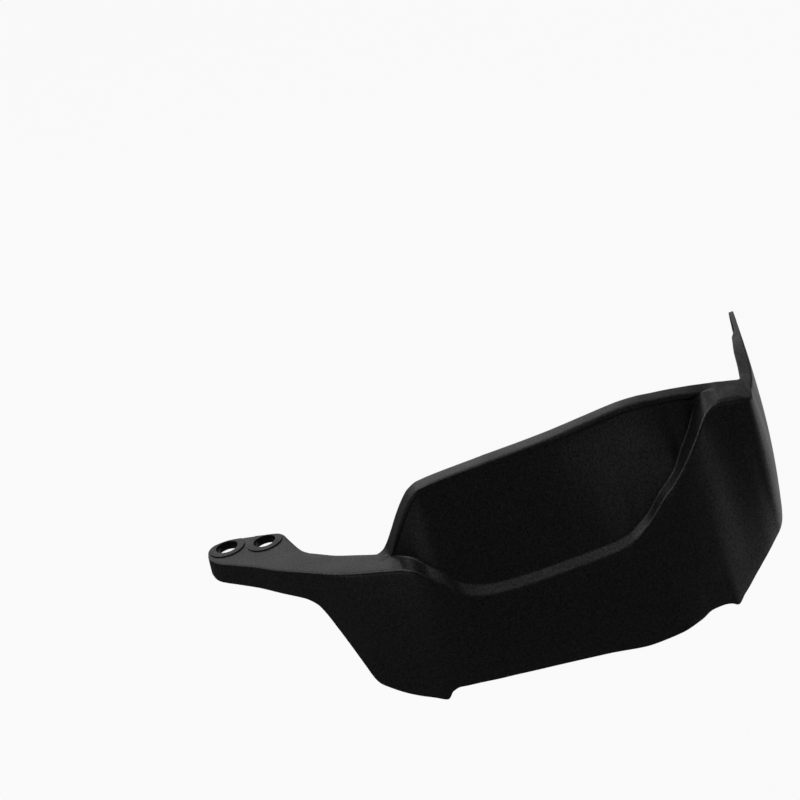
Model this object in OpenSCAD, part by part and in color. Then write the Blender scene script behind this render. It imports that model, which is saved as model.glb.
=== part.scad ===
// Guard for the left hand on a motorcycle handlebar, moulded in one piece of plastic.
// The origin lies midway between the two holes of the arm, on the arm's top face.
// +X runs outward along the grip, +Y rearward to the rider and +Z up.

/* [Bolt plate] */
// Distance between the two bolt holes
hole_spacing = 20; // [19:0.5:24]
// Turn of the line through the holes, forward from the grip's direction
hole_skew = 21.2; // [14:0.2:28]
// Diameter of the bolt holes
hole_d = 11; // [6:0.5:12]
// Diameter of the raised face round each hole
face_d = 18.4; // [16:0.2:18.8]
// Height of the raised face over the arm
face_h = 0.5; // [0.3:0.1:1]
// Plate behind each hole's centre
head_back = 7.4; // [7:0.2:9]
// Plate beyond the inner hole's centre
head_end = 10.4; // [9.6:0.2:13]
// Thickness of the arm's plate and skirt
plate_t = 4; // [3:0.1:5]
// Height of the skirt at the arm's end
skirt_h = 10; // [8:0.5:14]

/* [Arm] */
// Reach of the arm's rear edge forward of the outer hole, at its neck
neck_drop = 27.5; // [24:0.5:32]
// Height of the arm's rear lip, from the top face down
lip_h = 8; // [6:0.5:9]
// Number of ribs across the arm's channel
rib_count = 3; // [2:1:4]
// Thickness of a rib
rib_t = 2; // [1.5:0.1:3]
// Depth of a rib, from the arm's top face down
rib_h = 7.5; // [6:0.5:8]

/* [Shell] */
// Origin to the inner end of the panel
panel_x = 66; // [60:1:76]
// Length of the panel
panel_w = 172.7; // [155:1:190]
// Outer end of the panel to the outermost face
shelf_w = 26.8; // [24:0.4:34]
// Origin to the foremost part of the ridge
ridge_y = 96; // [88:1:108]
// Lowest part of the ridge under the arm's top face
ridge_drop = 25; // [20:0.5:30]
// Top of the rim over the arm's top face
rim_h = 41; // [35:0.5:48]
// Outer shelf over the arm's top face
shelf_h = 22.6; // [17:0.2:25]
// Drop of the shelf from there to the outer corner
shelf_dip = 6.6; // [4:0.2:8]
// Lowest part of the lower edge under the arm's top face
shell_drop = 83.4; // [72:0.6:95]
// Thickness of the shell
wall = 3; // [2.4:0.1:3.6]
// Ledge between the shell and the panel, in and up
ledge = 5; // [4:0.2:6.5]
// Width of the rim's top
rim_w = 9.6; // [8:0.2:12]
// Rim's front edge proud of the panel
rim_proud = 0.8; // [0.4:0.1:1.5]
// Bulge of the lower shell
crown = 2.2; // [1:0.1:4]
// Lower edge tucked in behind the ridge
tuck = 4.4; // [2:0.2:7]

/* [Strap] */
// Bar-end bolt behind the origin
bolt_y = 22.5; // [16:0.5:28]
// Bar-end bolt over the arm's top face
bolt_z = 10.5; // [7:0.5:13]
// Diameter of the bar-end bolt hole
bolt_d = 8.5; // [6:0.5:10.5]
// Radius of the strap's round end
end_r = 11.5; // [9:0.5:13]
// Lean of the outer wall, its foot inward
lean = 5.2; // [2:0.2:8]
// Width of the strap's top flange where it leaves the shelf
strap_w = 6.8; // [5:0.1:8]
// Width of the strap's top flange at the bolt pad
strap_end_w = 5; // [4:0.1:5.5]
// Thickness of the bolt pad
pad_t = 2.6; // [2:0.1:3]
// Bolt hole's centre to the edge of the pad
pad_reach = 16; // [12.5:0.5:20]

/* [Edges] */
// Radius of the ridge
ridge_r = 2; // [1:0.2:3]
// Radius of the rim's front edge
rim_r = 1.6; // [0.8:0.2:2.4]
// Radius of the fillet along the panel's foot
foot_r = 1.2; // [0.6:0.2:2]
// Radius of the free edges
edge_r = 0.9; // [0.5:0.1:1.1]

/* [Hidden] */
$fn = 64;

// A smooth curve through [position, value] points that never overshoots them.
function secant(t, i) = (t[i + 1][1] - t[i][1]) / (t[i + 1][0] - t[i][0]);
function slope(t, i) =
    i == 0 ? secant(t, 0)
    : i == len(t) - 1 ? secant(t, i - 1)
    : let (a = secant(t, i - 1), b = secant(t, i)) a * b <= 0 ? 0 : 2 * a * b / (a + b);
function leg(t, p, i = 0) = i >= len(t) - 2 || p <= t[i + 1][0] ? i : leg(t, p, i + 1);
function curve(t, p) =
    let (i = leg(t, p), h = t[i + 1][0] - t[i][0], q = min(max((p - t[i][0]) / h, 0), 1))
    (1 + 2 * q) * (1 - q) * (1 - q) * t[i][1] + q * (1 - q) * (1 - q) * h * slope(t, i)
    + q * q * (3 - 2 * q) * t[i + 1][1] - q * q * (1 - q) * h * slope(t, i + 1);

// Small helpers for points.
function mix(a, b, q) = a + (b - a) * q;
function unit(v) = v / max(norm(v), 0.000001);
function bend(a, b, c, q) = (1 - q) * (1 - q) * a + 2 * q * (1 - q) * b + q * q * c;

// The two bolt holes and the places along the guard that everything else is measured from.
// A stage is a place along the guard: 0 arm's end, 1 neck, 2 panel's inner end,
// 3 panel's outer end, 4 outer corner. Fractions lie between them.
hole_in = [-cos(hole_skew), sin(hole_skew)] * hole_spacing / 2;
hole_out = -hole_in;
neck = [hole_out[0] + 19, hole_out[1] - neck_drop];
outer_x = panel_x + panel_w + shelf_w;
corner_in = 3.5;
zones = [
    [0, hole_in[0] - head_end], [1, neck[0]], [2, panel_x],
    [3, panel_x + panel_w], [4, outer_x - corner_in]
];
function at(stage) = lookup(stage, zones);

// A line given by stages, smooth along the guard's length.
function line(t, s) = curve([for (p = t) [at(p[0]), p[1]]], at(s));

// Rear edge of the arm's head, from its end round both holes and down to the neck.
head_edge = [
    [hole_in[0] - head_end, hole_in[1] - 3],
    [hole_in[0] - head_end + 0.8, hole_in[1] + 2.2],
    [hole_in[0] - head_end + 2.6, hole_in[1] + head_back - 2],
    [hole_in[0] - 5, hole_in[1] + head_back - 0.6],
    [hole_in[0], hole_in[1] + head_back],
    [0, head_back + 1],
    [hole_out[0], hole_out[1] + head_back + 0.3],
    [hole_out[0] + 8.4, hole_out[1] + 3.3],
    [hole_out[0] + 10, hole_out[1] + 0.4],
    [hole_out[0] + 11.6, hole_out[1] - 6.6],
    [hole_out[0] + 16, hole_out[1] - 22.5],
    neck
];

// Each line below gives a stage and a share of the size named beside it.
// Ridge in plan, share of ridge_y.
ridge_plan = [
    [0, 0.022], [0.016, 0.05], [0.047, 0.08], [0.1, 0.117], [0.21, 0.172], [0.42, 0.277],
    [0.62, 0.393], [0.83, 0.493], [1.3, 0.679], [1.6, 0.754], [1.84, 0.805], [2, 0.844],
    [2.05, 0.904], [2.1, 0.943], [2.2, 0.99], [2.37, 1], [2.6, 0.978], [2.72, 0.941],
    [2.8, 0.898], [2.9, 0.823], [2.95, 0.7665], [2.98, 0.7225], [3.01, 0.7005], [3.17, 0.6885],
    [3.37, 0.679], [3.5, 0.6745], [3.72, 0.6655]
];
// Ridge's height, share of ridge_drop where it is negative and of shelf_h where it is positive.
ridge_line = [
    [2.02, 0], [2.05, -0.06], [2.09, -0.3], [2.13, -0.56], [2.17, -0.81], [2.22, -0.93],
    [2.3, -0.99], [2.42, -1], [2.62, -1], [2.67, -0.95], [2.72, -0.77], [2.8, -0.34],
    [2.83, -0.22], [2.873, 0.013], [2.892, 0.15], [2.93, 0.425], [2.95, 0.584], [2.97, 0.735],
    [2.985, 0.836], [3, 0.907], [3.05, 0.93], [3.13, 0.955], [3.23, 0.985], [3.32, 1], [4, 1]
];
// Lower edge, share of the way from skirt_h down to shell_drop.
lower_line = [
    [0, -0.03], [0.02, -0.008], [0.05, 0.004], [0.42, 0.034], [0.8, 0.078], [0.91, 0.128],
    [0.96, 0.19], [1.03, 0.304], [1.12, 0.44], [1.225, 0.61], [1.28, 0.7], [1.33, 0.742],
    [1.43, 0.777], [1.6, 0.825],
    [1.8, 0.865], [1.95, 0.885], [2.021, 0.905], [2.045, 0.843], [2.07, 0.819], [2.12, 0.819],
    [2.3, 0.857], [2.5, 0.92], [2.64, 0.98], [2.72, 0.986], [2.79, 0.965], [2.825, 0.941],
    [2.86, 0.951], [2.885, 0.975], [2.905, 1.008], [2.93, 0.969], [2.95, 0.942], [3, 0.868],
    [3.27, 0.832], [3.485, 0.794], [3.72, 0.747]
];
// Lower edge behind the ridge, share of tuck.
tuck_line = [
    [0, -0.2], [0.8, -0.1], [1, 0.2], [1.3, 0], [1.9, 0], [2.05, 0.2], [2.25, 0.85], [2.45, 1],
    [2.7, 1], [2.88, 1.2], [2.93, 1.15], [2.95, 1.04], [2.97, 0.8], [3, 0.6], [3.1, 0.6],
    [3.27, 0.68], [3.485, 1.06], [3.72, 1.49]
];
// Ledge's width and rise, shares of ledge.
ledge_run = [
    [1, 1.9], [1.6, 1.7], [1.9, 2.4], [2, 2.9], [2.025, 2.6], [2.05, 2.2], [2.08, 1.6],
    [2.125, 1.16], [2.25, 1], [2.6, 1], [2.72, 1.08], [2.8, 1.26], [2.85, 1.4],
    [2.89, 2.06], [2.93, 2.44], [2.95, 2.73], [2.97, 2.96], [2.985, 3.03], [3, 3.05], [3.05, 3],
    [3.27, 2.2]
];
ledge_rise = [
    [1.9, 0], [2, 0.18], [2.025, 0.34], [2.05, 0.6], [2.08, 0.95], [2.125, 1.36], [2.17, 1.28],
    [2.25, 1], [2.6, 0.86], [2.7, 0.8], [2.76, 0.52], [2.85, 0.55], [2.89, 0.68],
    [2.97, 0.69], [2.985, 0.65], [3, 0.6], [3.05, 0.5], [3.13, 0.34], [3.23, 0.13], [3.32, 0]
];
// Rear edge behind the neck in plan, share of ridge_y.
rear_line = [
    [1.15, 0.384], [1.31, 0.447], [1.58, 0.523], [1.84, 0.591], [1.92, 0.604], [2, 0.62],
    [2.025, 0.646], [2.08, 0.703], [2.14, 0.75], [2.2, 0.758], [2.3, 0.758], [2.42, 0.748],
    [2.53, 0.728], [2.65, 0.674], [2.75, 0.614], [2.86, 0.547], [2.92, 0.506], [2.98, 0.471],
    [3.1, 0.455], [3.25, 0.447], [3.5, 0.434], [3.77, 0.422]
];
// Rim's height at its inner end, share of rim_h, and from there to the shelf.
rim_rise = [
    [1.84, 0], [1.92, 0.045], [2, 0.14], [2.025, 0.32], [2.052, 0.527], [2.081, 0.722],
    [2.11, 0.873], [2.14, 0.949], [2.2, 0.98], [2.35, 1]
];
rim_fall = [
    [2.35, 1], [2.53, 0.973], [2.65, 0.917], [2.75, 0.831], [2.81, 0.722], [2.86, 0.576],
    [2.892, 0.478], [2.921, 0.382], [2.95, 0.287], [2.98, 0.19], [3.056, 0.098], [3.25, 0.026],
    [3.36, 0.003], [3.5, -0.02], [3.72, -0.03]
];
// Shelf on its way down to the outer corner, share of shelf_dip.
dip_line = [[3.1, 0], [3.27, 0.04], [3.365, 0.1], [3.485, 0.21], [3.7, 0.445], [3.89, 0.73], [4, 1]];
// Bulge of the lower shell, share of crown.
crown_line = [[1, 0], [1.5, 0.5], [1.9, 0.92], [2.2, 1], [2.95, 1], [3.35, 0.6], [3.7, 0.3]];
// Rim's front edge before its rear edge, share of rim_w, and under it in millimetres.
rim_run = [
    [1, 0.9], [1.6, 0.6], [1.9, 0.6], [2, 0.72], [2.025, 0.83], [2.052, 0.94], [2.11, 1],
    [2.5, 1], [2.72, 0.95], [2.95, 0.92], [2.97, 0.83], [2.985, 0.76], [3, 0.72], [3.27, 0.6],
    [3.72, 0.6]
];
rim_tilt = [
    [1.84, 0], [1.93, 1.4], [2, 4.6], [2.025, 2.6], [2.052, 2], [2.1, 1], [2.14, 0], [2.93, 0],
    [2.95, 0.3], [2.97, 0.8], [2.985, 1.3], [3, 1.3], [3.05, 1.1], [3.13, 0.74], [3.23, 0.27],
    [3.32, 0]
];
// Radius of the ridge, share of ridge_r, softer along the shelf.
soft_line = [[3.1, 1], [3.5, 2.2], [3.72, 2.6]];
// How much of the panel's recess is there, from 0 on the flat arm and shelf to 1.
recess_line = [[2, 0], [2.04, 1], [2.95, 1], [2.99, 0]];
// Lower edge inward of its ridge point, in millimetres, where the shell turns into the outer wall.
fan_line = [[2.88, 0], [2.95, 0.9], [3, 2], [3.27, 4.6], [3.72, 6.6]];
// Lip of the arm's rear edge, 0 where there is only the plate.
lip_line = [[0.75, 0], [1.15, 1], [1.7, 1], [1.98, 0]];

function dip(s) = shelf_dip * line(dip_line, s);
function ridge_z(s) =
    let (f = line(ridge_line, s)) (f < 0 ? f * ridge_drop : f * shelf_h) - dip(s);
function lower_z(s) = -skirt_h - (shell_drop - skirt_h) * line(lower_line, s);
function rear_y(s) =
    s <= 1 ? curve(head_edge, at(s))
    : line(concat([[1, neck[1]]], [for (p = rear_line) [p[0], -ridge_y * p[1]]]), s);
function rim_z(s) =
    s < 2.35 ? rim_h * line(rim_rise, s) : mix(shelf_h, rim_h, line(rim_fall, s)) - dip(s);

// Six points across the guard at a stage: lower edge, belly, ridge, panel foot, rim front, rim rear.
function front(s) =
    let (
        ridge = [at(s), -ridge_y * line(ridge_plan, s), ridge_z(s)],
        low = [at(s) - line(fan_line, s), ridge[1] + tuck * line(tuck_line, s), lower_z(s)],
        rear = [at(s), rear_y(s), rim_z(s)],
        width = rear[1] - ridge[1],
        foot_in = s < 1 ? 0.4 * width : ledge * line(ledge_run, s),
        rim_in = s < 1 ? 0.36 * width : rim_w * line(rim_run, s),
        foot = ridge + [0, foot_in, ledge * line(ledge_rise, s)],
        rim = rear - [0, rim_in, line(rim_tilt, s)],
        belly = mix(low, ridge, 0.5) - [0, 2 * crown * line(crown_line, s), 0]
    )
    [low, belly, ridge, foot, rim, rear];

// Outer wall and strap. Its outer face leans; its top line and lower edge are seen from the side.
corner_h = shelf_h - shelf_dip;
wall_front = -62.4;
foot_front = -53.2;
straight_from = -25;
wall_top = [[wall_front, corner_h], [-42, corner_h + 2], [-8, bolt_z + end_r - 0.6],
    [bolt_y, bolt_z + end_r]];
wall_low = [
    [foot_front, -shell_drop * 0.7254], [-40, -shell_drop * 0.57], [-20, -shell_drop * 0.33],
    [-4, -shell_drop * 0.135], [bolt_y - pad_reach + 1, bolt_z - end_r - 2.2],
    [bolt_y, bolt_z - end_r]
];
wall_plan = [[wall_front, 4.6], [-53.2, 3.3], [-47, 1.7], [-37, 0.2], [-24, -0.5], [-8, -0.7]];
wall_belly = [[wall_front, 1], [-45, 0.8], [-5, 0]];
wall_from = -54;
strap_from = -37;
shoulder = 7;
shelf_back = -41.3;
strap_line = [
    [strap_from, strap_w], [-18, strap_w * 0.95], [bolt_y - pad_reach - shoulder, strap_end_w]
];
function round_end(y) = sqrt(max(end_r * end_r - pow(max(y - bolt_y, 0), 2), 0.01));
function top_z(y) = y < bolt_y ? curve(wall_top, y) : bolt_z + round_end(y);
function low_z(y) = y < bolt_y ? curve(wall_low, y) : bolt_z - round_end(y);
function wall_point(y, z) = [outer_x - curve(wall_plan, y) - tan(lean) * (top_z(y) - z), y, z];
function is_pad(y) = y > bolt_y - pad_reach - 0.01;
function side(y) =
    let (
        lag = max(0, (straight_from - y) / (straight_from - wall_front)),
        low_y = y + (foot_front - wall_front) * lag,
        ridge = wall_point(y, top_z(y)),
        low = wall_point(low_y, low_z(low_y)),
        root = wall_point(max(y, strap_from), top_z(max(y, strap_from))),
        turn = max(0, (strap_from - y) / (strap_from - wall_front)),
        rear_y = max(y, strap_from) + (shelf_back - strap_from) * turn,
        rear = [root[0] - (is_pad(y) ? pad_t : curve(strap_line, y)), rear_y, root[2]],
        belly = mix(low, ridge, 0.5) + [2 * crown * curve(wall_belly, y), 0, 0]
    )
    [low, belly, ridge, mix(ridge, rear, 0.35), mix(ridge, rear, 0.7), rear];

// Where the shell turns the corner into the outer wall, each line is rounded by its own length.
corner = [
    [outer_x - 10.5, foot_front, -shell_drop * 0.7254],
    [outer_x - 4.6, -60.3, -20],
    [outer_x - 4.1, wall_front, corner_h],
    [outer_x - 4.9, -55.5, corner_h + 0.7],
    [outer_x - 5.9, -48.5, corner_h + 1.6],
    [outer_x - 7.7, shelf_back, corner_h + 2.6]
];
front_to = 3.7;
corner_from = front(front_to);
corner_to = side(wall_from);
corner_set = [5, 14, 5, 3.5, 2.5, 2];
corner_steps = 8;
function corner_line(j, q) =
    let (
        p = corner[j],
        a = p + unit(corner_from[j] - p) * min(corner_set[j], norm(corner_from[j] - p) * 0.8),
        b = p + unit(corner_to[j] - p) * min(corner_set[j], norm(corner_to[j] - p) * 0.8)
    )
    bend(a, p, b, q);

// Stages of the sections along the front, then the corner, then the outer wall.
hollow_at = plate_t / (neck[0] - at(0));
tip_at = 2.021;
notch_at = 2.905;
front_stages = concat(
    [0, 0.006, 0.016, 0.03, 0.05, hollow_at - 0.002, hollow_at],
    [for (k = [1:14]) mix(hollow_at, 1, k / 14)],
    [for (k = [1:16]) 1 + k / 16],
    [2.0105, tip_at],
    [for (k = [1:16]) mix(tip_at, 2.25, k / 16)],
    [for (k = [1:9]) 2.25 + 0.4 * k / 9],
    [for (k = [1:14]) mix(2.65, notch_at, k / 14)],
    [for (k = [1:7]) mix(notch_at, 3, k / 7)],
    [for (k = [1:5]) 3 + 0.3 * k / 5],
    [for (k = [1:3]) mix(3.3, front_to, k / 3)]
);
pad_y = bolt_y - pad_reach;
wall_stages = concat(
    [for (k = [0:7]) mix(wall_from, pad_y - shoulder, k / 7)],
    [pad_y],
    [mix(pad_y, bolt_y, 0.5)],
    [for (a = [0:15:75]) bolt_y + end_r * sin(a)],
    [bolt_y + end_r * sin(83)]
);
net = concat(
    [for (s = front_stages) front(s)],
    [for (k = [0:corner_steps]) [for (j = [0:5]) corner_line(j, k / corner_steps)]],
    [for (y = wall_stages) side(y)]
);
fronts = len(front_stages);
corners = corner_steps + 1;
stations = len(net);

// What changes along the guard: thickness, recess, rear lip, closed end and bolt pad.
function stage_of(i) = i < fronts ? front_stages[i] : 4;
function thickness(i) =
    i >= fronts + corners && is_pad(wall_stages[i - fronts - corners]) ? pad_t
    : curve([[1.7, plate_t], [2, wall]], stage_of(i));
function recess(i) = i < fronts ? line(recess_line, front_stages[i]) : 0;
function lip(i) = i < fronts ? (lip_h - plate_t) * line(lip_line, front_stages[i]) : 0;
function softness(i) =
    i < fronts ? line(soft_line, front_stages[i])
    : mix(soft_line[len(soft_line) - 1][1], 1, min(1, (i - fronts) / corner_steps));
function closed(i) = i < fronts && front_stages[i] < hollow_at - 0.001;
function padded(i) = i >= fronts + corners && is_pad(wall_stages[i - fronts - corners]);

// Outer rows at a station, from the lower edge up the shell, over ledge and panel to the rim.
belly_steps = 6;
panel_steps = 3;
lip_face = 3.2;
lip_top = 2.2;
function outer(i) =
    let (
        p = net[i],
        height = norm(p[4] - p[3]),
        up = unit(p[4] - p[3]),
        along = unit(net[min(i + 1, stations - 1)][4] - net[max(i - 1, 0)][4]),
        out = unit(cross(along, up)),
        inset = out * rim_proud * recess(i),
        face = min(lip_face, height * 0.5)
    )
    concat(
        [for (k = [0:belly_steps]) bend(p[0], p[1], p[2], k / belly_steps)],
        [p[3] - inset],
        [for (k = [1:panel_steps]) mix(p[3] - inset, p[4] - inset - up * face, k / panel_steps)],
        [p[4] - up * face * lip_top / lip_face, p[4], p[5]]
    );
rows = [for (i = [0:stations - 1]) outer(i)];
row_count = len(rows[0]);
ridge_row = belly_steps;
foot_row = ridge_row + 1;
panel_row = foot_row + panel_steps;
rim_row = panel_row + 2;
rear_row = rim_row + 1;

// Face direction of the strip above a row, and the point of a row moved inward by the thickness.
function travel(i, j) = rows[min(i + 1, stations - 1)][j] - rows[max(i - 1, 0)][j];
function strip_out(i, j) =
    let (k = min(j, row_count - 2)) unit(cross(travel(i, j), rows[i][k + 1] - rows[i][k]));
function inward(i, j) =
    let (a = strip_out(i, max(j - 1, 0)), b = strip_out(i, j))
    rows[i][j] - thickness(i) * (a + b) / (1 + a * b);

// Inner rows, from the foot of the rear edge back to the lower edge.
// The rim's small step has no inner twin.
inner_rows = concat([rim_row], [for (k = [panel_row:-1:0]) k]);
inner_count = len(inner_rows) + 2;
upper_rows = len([for (j = inner_rows) if (j >= ridge_row) j]);
// On the flat bolt pad these rows only lie close together down its inner face.
pad_pitch = 0.012;
function rear_low(i) =
    rows[i][rear_row] - strip_out(i, rear_row - 1) * thickness(i) - [0, 0, lip(i)];
function inner(i) =
    let (
        foot = rear_low(i),
        ahead = unit(rows[i][rim_row] - rows[i][rear_row]),
        lip_t = i < fronts ? 2.2 : 0.3,
        under = rows[i][rear_row] - strip_out(i, rear_row - 1) * thickness(i),
        last = closed(i) ? rows[i][0] : inward(i, 0)
    )
    closed(i) ? [for (k = [1:inner_count]) mix(foot, last, k / (inner_count + 0.5))]
    : concat(
        padded(i) ? [for (k = [1:2]) mix(foot, last, pad_pitch * k)]
        : [foot + ahead * lip_t, under + ahead * (lip_t + 0.8)],
        padded(i) ? [for (k = [3:upper_rows + 2]) mix(foot, last, pad_pitch * k)]
        : [for (j = inner_rows) if (j >= ridge_row) inward(i, j)],
        [for (j = [ridge_row - 1:-1:0]) inward(i, j)]
    );
// A closed section with its corners rounded: each point has a setback and a number of points.
function round_point(p, before, after, set, n) =
    n < 2 ? [p]
    : let (
        a = p + unit(before - p) * min(set, 0.45 * norm(before - p)),
        b = p + unit(after - p) * min(set, 0.45 * norm(after - p))
    )
    [for (k = [0:n - 1]) bend(a, p, b, k / (n - 1))];
function outer_set(i) = [for (j = [0:row_count - 1])
    j == 0 ? [edge_r, 3]
    : j == ridge_row ? [ridge_r * softness(i), 4]
    : j == foot_row ? [foot_r, 3]
    : j == rim_row ? [rim_r, 4]
    : j == rear_row ? [edge_r, 3]
    : [0, 1]];
inner_set = concat(
    [[edge_r, 2], [0, 1], [0, 1], [1, 3]],
    [for (k = [1:panel_steps]) [0, 1]],
    [[foot_r, 3], [0.8, 2]],
    [for (k = [1:belly_steps - 1]) [0, 1]],
    [[edge_r, 3]]
);
function section(i) =
    let (
        pts = concat(rows[i], [rear_low(i)], inner(i)),
        sets = concat(outer_set(i), inner_set),
        n = len(pts)
    )
    [for (j = [0:n - 1]) each
        round_point(pts[j], pts[(j + n - 1) % n], pts[(j + 1) % n], sets[j][0], sets[j][1])];

// The arm's end leans outward a little towards its foot.
end_draft = 0.1;
function drafted(p, i) =
    i < fronts ? p + [p[2] < 0 ? end_draft * p[2] * max(0, 1 - front_stages[i] / 0.16) : 0, 0, 0] : p;

module shell() {
    sections = [for (i = [0:stations - 1]) section(i)];
    n = len(sections[0]);
    points = [for (i = [0:stations - 1]) each [for (p = sections[i]) drafted(p, i)]];
    skin = [for (i = [0:stations - 2]) each [for (j = [0:n - 1]) each
        let (a = i * n + j, b = i * n + (j + 1) % n, c = a + n, d = b + n)
        [[a, b, d], [a, d, c]]]];
    function cap(i, turn) = [for (j = [0:floor((n - 3) / 2)]) each
        let (a = i * n + j, b = a + 1, c = i * n + n - 1 - j, d = c - 1)
        concat([turn ? [a, c, b] : [a, b, c]], b == d ? [] : [turn ? [b, c, d] : [b, d, c]])];
    polyhedron(points, concat(skin, cap(0, true), cap(stations - 1, false)), convexity = 10);
}

// Raised faces round the two bolt holes, cut off along the arm's rear edge.
face_root = 1;
head_stages = [0:0.03:0.9];
function head_rim(s) = [at(s), rear_y(s)];
function head_inset(s) =
    let (run = unit(head_rim(s + 0.01) - head_rim(max(s - 0.01, 0))))
    head_rim(s) + edge_r * [run[1], -run[0]];
module raised_faces() {
    intersection() {
        for (p = [hole_in, hole_out])
            translate([p[0], p[1], -face_root])
                cylinder(h = face_root + face_h, d = face_d);
        translate([0, 0, -2 * face_root])
            linear_extrude(height = 4 * face_root)
                polygon(concat(
                    [for (s = head_stages) head_inset(s)],
                    [[at(0.9), -neck_drop], [at(0) + edge_r, -neck_drop]]
                ));
    }
}

// Cross ribs in the arm's channel, from the skirt to the rear lip.
rib_from = 1.3;
rib_to = 1.62;
rib_skew = 0.27;
rib_root = 1;
module ribs() {
    for (k = [0:rib_count - 1])
        let (
            s = mix(rib_from, rib_to, k / (rib_count - 1)),
            fore = front(s - rib_skew)[2],
            aft = front(s)[5],
            run = unit([aft[0] - fore[0], aft[1] - fore[1]]),
            half = rib_t / 2 * [-run[1], run[0]],
            a = [fore[0], fore[1]] + run * plate_t / 2,
            b = [aft[0], aft[1]] - run * rib_root
        )
        translate([0, 0, -rib_h])
            linear_extrude(height = rib_h - plate_t + rib_root)
                polygon([a - half, b - half, b + half, a + half]);
}

// Bolt holes through the arm's plate and through the strap's pad.
module bolt_holes() {
    for (p = [hole_in, hole_out])
        translate([p[0], p[1], -2 * plate_t])
            cylinder(h = 3 * plate_t, d = hole_d);
    translate(wall_point(bolt_y, bolt_z))
        rotate([0, 90 + lean, 0])
            cylinder(h = 6 * pad_t, d = bolt_d, center = true);
}

module hand_guard() {
    color([0.08, 0.08, 0.085])
        difference() {
            union() {
                shell();
                ribs();
                raised_faces();
            }
            bolt_holes();
        }
}

hand_guard();
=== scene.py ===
"""A motorcycle hand guard, moulded in one piece of black plastic, dressed over its CAD frame.

Lengths below are in millimetres in the row frame, as in the part's own source: the origin lies
midway between the arm's two bolt holes, +X runs outward along the grip, +Y rearward and +Z up.
The mesh is built from the same lines as the solid, with finer steps and rounder edges.
"""

import math

import bpy
import numpy as np
from mathutils import Matrix, Vector


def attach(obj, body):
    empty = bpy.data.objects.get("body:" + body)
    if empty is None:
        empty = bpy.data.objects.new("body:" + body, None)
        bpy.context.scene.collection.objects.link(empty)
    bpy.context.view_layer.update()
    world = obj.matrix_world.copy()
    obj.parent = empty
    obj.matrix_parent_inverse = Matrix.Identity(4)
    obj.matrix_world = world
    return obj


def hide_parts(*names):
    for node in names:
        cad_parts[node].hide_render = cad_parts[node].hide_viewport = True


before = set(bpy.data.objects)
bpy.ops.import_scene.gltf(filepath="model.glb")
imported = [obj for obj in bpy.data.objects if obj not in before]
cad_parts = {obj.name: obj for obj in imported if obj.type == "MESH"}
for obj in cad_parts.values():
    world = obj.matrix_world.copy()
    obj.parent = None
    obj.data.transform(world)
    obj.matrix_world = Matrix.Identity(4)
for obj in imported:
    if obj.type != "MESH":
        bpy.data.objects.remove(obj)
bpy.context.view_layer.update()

MM = 0.001

# ---- sizes, as in the part's source --------------------------------------------------------
HOLE_SPACING, HOLE_SKEW, HOLE_D = 20.0, math.radians(21.2), 11.0
FACE_D, FACE_H = 18.4, 0.5
HEAD_BACK, HEAD_END = 7.4, 10.4
PLATE_T, SKIRT_H = 4.0, 10.0
NECK_DROP, LIP_H = 27.5, 8.0
PANEL_X, PANEL_W, SHELF_W = 66.0, 172.7, 26.8
RIDGE_Y, RIDGE_DROP = 96.0, 25.0
RIM_H, SHELF_H, SHELF_DIP, SHELL_DROP = 41.0, 22.6, 6.6, 83.4
WALL, LEDGE = 3.0, 5.0
RIM_W, RIM_PROUD = 9.6, 0.8
CROWN, TUCK = 2.2, 4.4
BOLT_Y, BOLT_Z, BOLT_D, END_R = 22.5, 10.5, 8.5, 11.5
LEAN = math.radians(5.2)
STRAP_W, STRAP_END_W, PAD_T, PAD_REACH = 6.8, 5.0, 2.6, 16.0
RIDGE_R, RIM_R, FOOT_R, EDGE_R = 2.0, 1.6, 1.2, 0.9
RIB_STAGES, RIB_SKEW, RIB_ROOT, RIB_T, RIB_H = (1.3, 1.46, 1.62), 0.27, 1.0, 2.0, 7.5

# ---- small bevels and edges of the scene's own ---------------------------------------------
HOLE_BEVEL, HOLE_BREAK, HOLE_RIM = 0.25, 0.07, 0.45
# how far in and how high each ring of a raised face's edge lies
FACE_EDGE = ((0, -1), (0, FACE_H - 0.12), (0.04, FACE_H - 0.03), (0.12, FACE_H), (0.2, FACE_H))
PAD_BEVEL, RIB_BEVEL = 0.2, 0.25
LIP_T, LIP_BREAK, STRAP_LIP_T = 2.2, 0.8, 0.3
SHARP_ANGLE = math.radians(38)
TURN_STEPS, FACE_STEPS, OUTLINE_STEPS = 128, 180, 181

HOLE_IN = np.array([-math.cos(HOLE_SKEW), math.sin(HOLE_SKEW)]) * HOLE_SPACING / 2
HOLE_OUT = -HOLE_IN
NECK = (HOLE_OUT[0] + 19, HOLE_OUT[1] - NECK_DROP)
OUTER_X = PANEL_X + PANEL_W + SHELF_W
CORNER_X = OUTER_X - 3.5
ARM_END = HOLE_IN[0] - HEAD_END


# ---- lines along the guard -----------------------------------------------------------------
def curve(table, p):
    """The value at p on a smooth curve through [position, value] points that never overshoots."""
    x, y = (np.array(c, float) for c in zip(*table))
    rise = np.diff(y) / np.diff(x)
    slope = np.concatenate([rise[:1], np.zeros(len(x) - 2), rise[-1:]])
    for k in range(1, len(x) - 1):
        a, b = rise[k - 1], rise[k]
        slope[k] = 0 if a * b <= 0 else 2 * a * b / (a + b)
    k = min(max(int(np.searchsorted(x, p, side="left")) - 1, 0), len(x) - 2)
    h = x[k + 1] - x[k]
    q = min(max((p - x[k]) / h, 0), 1)
    return (
        (1 + 2 * q) * (1 - q) ** 2 * y[k] + q * (1 - q) ** 2 * h * slope[k]
        + q * q * (3 - 2 * q) * y[k + 1] - q * q * (1 - q) * h * slope[k + 1]
    )


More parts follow.
